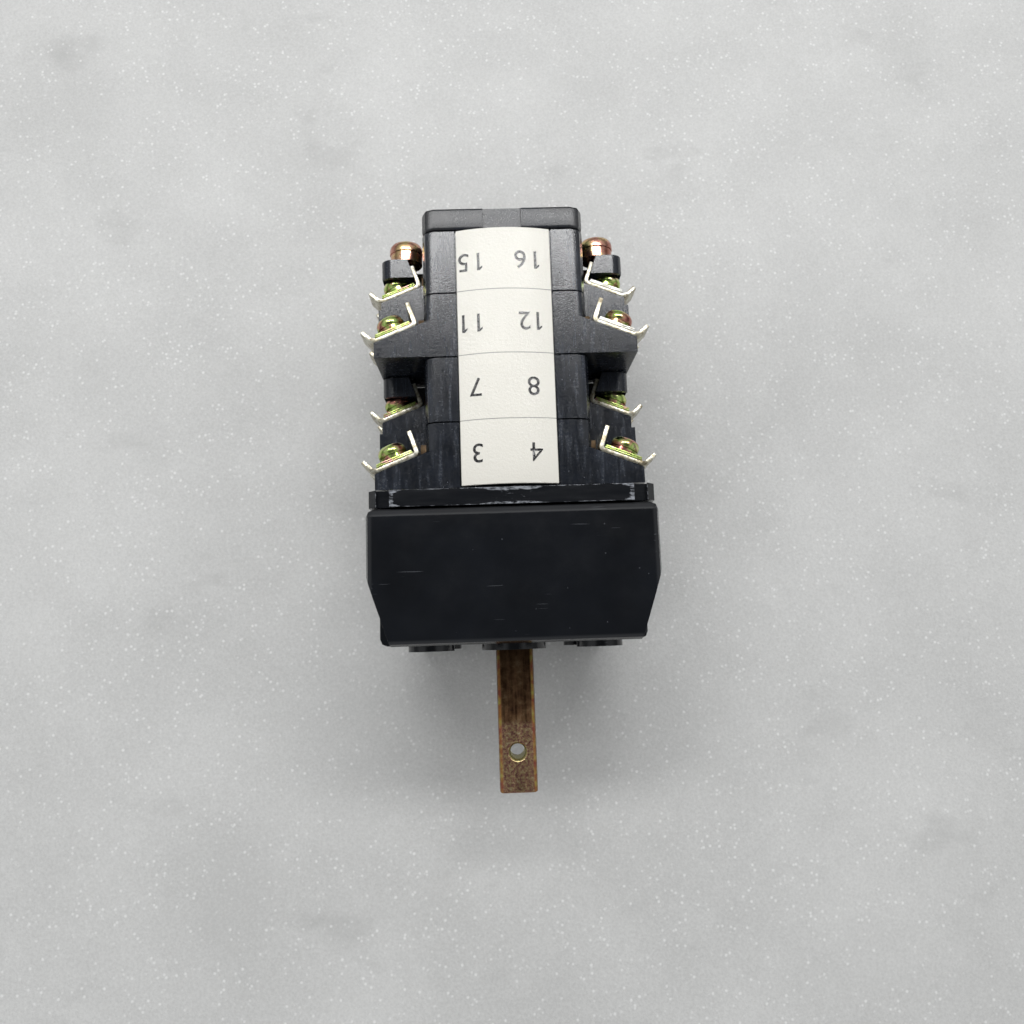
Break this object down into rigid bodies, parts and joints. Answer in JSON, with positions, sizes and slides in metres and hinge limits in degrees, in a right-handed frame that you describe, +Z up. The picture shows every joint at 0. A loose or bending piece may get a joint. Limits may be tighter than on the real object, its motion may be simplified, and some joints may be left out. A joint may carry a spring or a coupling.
{
  "type": "rotary cam control switch",
  "caption": "Panel-mounted rotary cam switch with a square shaft, a detent housing, stacked contact blocks with screw terminals and a label strip.",
  "frame": {"origin": "on the shaft's axis, at the front face of the housing, which meets the panel", "axes": "+X right, +Y to the rear along the shaft, +Z up, with the label strip on top"},
  "size_m": [0.0626, 0.1241, 0.0564],
  "materials": {
    "housing": "glossy near-black moulding",
    "moulding": "satin blue-grey black phenolic moulding",
    "label": "cream plastic strip with dark numbers",
    "shaft": "steel with a brown-gold chromate film",
    "terminal": "bright nickel plate",
    "screw": "steel with an iridescent yellow chromate film",
    "bolt": "steel with a copper-gold film",
    "cam": "white plastic",
    "contact": "copper alloy",
    "spring": "spring steel"
  },
  "bodies": {
    "switch_body": {"mechanism_housing": "housing", "mechanism_cover": "housing", "end_plate": "moulding", "label_strip": "label", "detent_spring": "spring", "contact_block_1": "moulding", "terminal_1": "terminal", "terminal_2": "terminal", "terminal_3": "terminal", "terminal_screw_3": "screw", "terminal_4": "terminal", "terminal_screw_4": "screw", "contact_spring_1_upper": "spring", "contact_spring_1_lower": "spring", "contact_block_2": "moulding", "terminal_5": "terminal", "terminal_6": "terminal", "terminal_7": "terminal", "terminal_screw_7": "screw", "terminal_8": "terminal", "terminal_screw_8": "screw", "contact_spring_2_upper": "spring", "contact_spring_2_lower": "spring", "contact_block_3": "moulding", "terminal_9": "terminal", "terminal_10": "terminal", "terminal_11": "terminal", "terminal_screw_11": "screw", "terminal_12": "terminal", "terminal_screw_12": "screw", "contact_spring_3_upper": "spring", "contact_spring_3_lower": "spring", "contact_block_4": "moulding", "terminal_13": "terminal", "terminal_14": "terminal", "terminal_15": "terminal", "terminal_screw_15": "screw", "terminal_16": "terminal", "terminal_screw_16": "screw", "contact_spring_4_upper": "spring", "contact_spring_4_lower": "spring", "tie_rod_left": "bolt", "tie_rod_right": "bolt", "lug_screw_left": "bolt", "lug_screw_right": "bolt"},
    "shaft": {"drive_shaft": "shaft", "detent_wheel": "cam", "shaft_circlip": "spring", "cam_1": "cam", "cam_2": "cam", "cam_3": "cam", "cam_4": "cam"},
    "contact_1_upper": {"moving_contact_1_upper": "contact"},
    "contact_1_lower": {"moving_contact_1_lower": "contact"},
    "contact_2_upper": {"moving_contact_2_upper": "contact"},
    "contact_2_lower": {"moving_contact_2_lower": "contact"},
    "contact_3_upper": {"moving_contact_3_upper": "contact"},
    "contact_3_lower": {"moving_contact_3_lower": "contact"},
    "contact_4_upper": {"moving_contact_4_upper": "contact"},
    "contact_4_lower": {"moving_contact_4_lower": "contact"}
  },
  "joints": [
    {"name": "shaft_turn", "type": "hinge", "parent": "switch_body", "child": "shaft", "pos_m": [0, 0, 0], "axis": [0, 1, 0], "range_deg": [-45, 45], "deforming": ["detent_spring"]},
    {"name": "contact_1_upper_slide", "type": "slide", "parent": "switch_body", "child": "contact_1_upper", "axis": [0, 0, 1], "range_m": [-0.00121, 0.00121], "deforming": ["contact_spring_1_upper"]},
    {"name": "contact_1_lower_slide", "type": "slide", "parent": "switch_body", "child": "contact_1_lower", "axis": [0, 0, 1], "range_m": [-0.00121, 0.00121], "deforming": ["contact_spring_1_lower"]},
    {"name": "contact_2_upper_slide", "type": "slide", "parent": "switch_body", "child": "contact_2_upper", "axis": [0, 0, 1], "range_m": [-0.00121, 0.00121], "deforming": ["contact_spring_2_upper"]},
    {"name": "contact_2_lower_slide", "type": "slide", "parent": "switch_body", "child": "contact_2_lower", "axis": [0, 0, 1], "range_m": [-0.00121, 0.00121], "deforming": ["contact_spring_2_lower"]},
    {"name": "contact_3_upper_slide", "type": "slide", "parent": "switch_body", "child": "contact_3_upper", "axis": [0, 0, 1], "range_m": [-0.00121, 0.00121], "deforming": ["contact_spring_3_upper"]},
    {"name": "contact_3_lower_slide", "type": "slide", "parent": "switch_body", "child": "contact_3_lower", "axis": [0, 0, 1], "range_m": [-0.00121, 0.00121], "deforming": ["contact_spring_3_lower"]},
    {"name": "contact_4_upper_slide", "type": "slide", "parent": "switch_body", "child": "contact_4_upper", "axis": [0, 0, 1], "range_m": [-0.00121, 0.00121], "deforming": ["contact_spring_4_upper"]},
    {"name": "contact_4_lower_slide", "type": "slide", "parent": "switch_body", "child": "contact_4_lower", "axis": [0, 0, 1], "range_m": [-0.00121, 0.00121], "deforming": ["contact_spring_4_lower"]}
  ],
  "couplings": [
    {"joint": "contact_1_upper_slide", "follows": "shaft_turn", "m_per_rad": 0.0015279},
    {"joint": "contact_1_lower_slide", "follows": "shaft_turn", "m_per_rad": 0.0015279},
    {"joint": "contact_2_upper_slide", "follows": "shaft_turn", "m_per_rad": -0.0015279},
    {"joint": "contact_2_lower_slide", "follows": "shaft_turn", "m_per_rad": -0.0015279},
    {"joint": "contact_3_upper_slide", "follows": "shaft_turn", "m_per_rad": 0.0015279},
    {"joint": "contact_3_lower_slide", "follows": "shaft_turn", "m_per_rad": 0.0015279},
    {"joint": "contact_4_upper_slide", "follows": "shaft_turn", "m_per_rad": -0.0015279},
    {"joint": "contact_4_lower_slide", "follows": "shaft_turn", "m_per_rad": -0.0015279}
  ]
}
